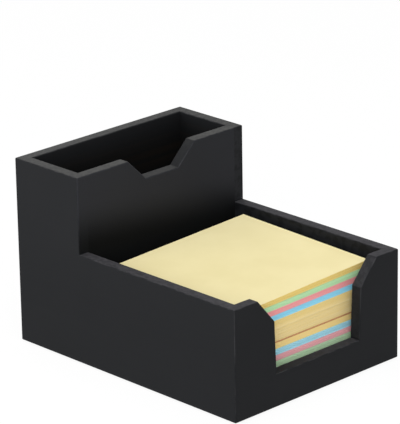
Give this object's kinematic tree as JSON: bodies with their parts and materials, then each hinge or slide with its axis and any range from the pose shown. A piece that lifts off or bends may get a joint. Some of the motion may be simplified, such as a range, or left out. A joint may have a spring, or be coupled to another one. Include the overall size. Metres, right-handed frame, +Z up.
{
  "type": "memo box",
  "caption": "Black desk memo box: a square tray of coloured note sheets with a finger notch in front, and a tall notched pen compartment behind.",
  "frame": {"origin": "on the desk, under the middle of the box's footprint", "axes": "+X to the right seen from the front, +Y from the tray towards the pen compartment, +Z up"},
  "size_m": [0.1, 0.135, 0.0865],
  "materials": {
    "black_painted_board": "satin black paint on sanded board",
    "foot_foam": "matte foam rubber",
    "backing_card": "uncoated grey-brown card",
    "yellow_paper": "uncoated tinted paper",
    "green_paper": "uncoated tinted paper",
    "pink_paper": "uncoated tinted paper",
    "blue_paper": "uncoated tinted paper"
  },
  "bodies": {
    "box": {"base_board": "black_painted_board", "left_side_panel": "black_painted_board", "right_side_panel": "black_painted_board", "front_panel": "black_painted_board", "back_panel": "black_painted_board", "divider_panel": "black_painted_board", "foot_front_left": "foot_foam", "foot_front_right": "foot_foam", "foot_back_left": "foot_foam", "foot_back_right": "foot_foam"},
    "lower_block": {"lower_backing_card": "backing_card", "lower_plain_sheets": "yellow_paper", "lower_green_sheets": "green_paper", "lower_pink_sheets": "pink_paper", "lower_blue_sheets": "blue_paper", "lower_yellow_sheets": "yellow_paper"},
    "upper_block": {"upper_backing_card": "backing_card", "upper_plain_sheets": "yellow_paper", "upper_blue_sheets": "blue_paper", "upper_pink_sheets": "pink_paper", "upper_green_sheets": "green_paper", "upper_yellow_sheets": "yellow_paper"}
  },
  "joints": [
    {"name": "lower_block_lift", "type": "slide", "parent": "box", "child": "lower_block", "axis": [0, 0, 1], "range_m": [0, 0.085]},
    {"name": "upper_block_lift", "type": "slide", "parent": "lower_block", "child": "upper_block", "axis": [0, 0, 1], "range_m": [0, 0.065]}
  ]
}
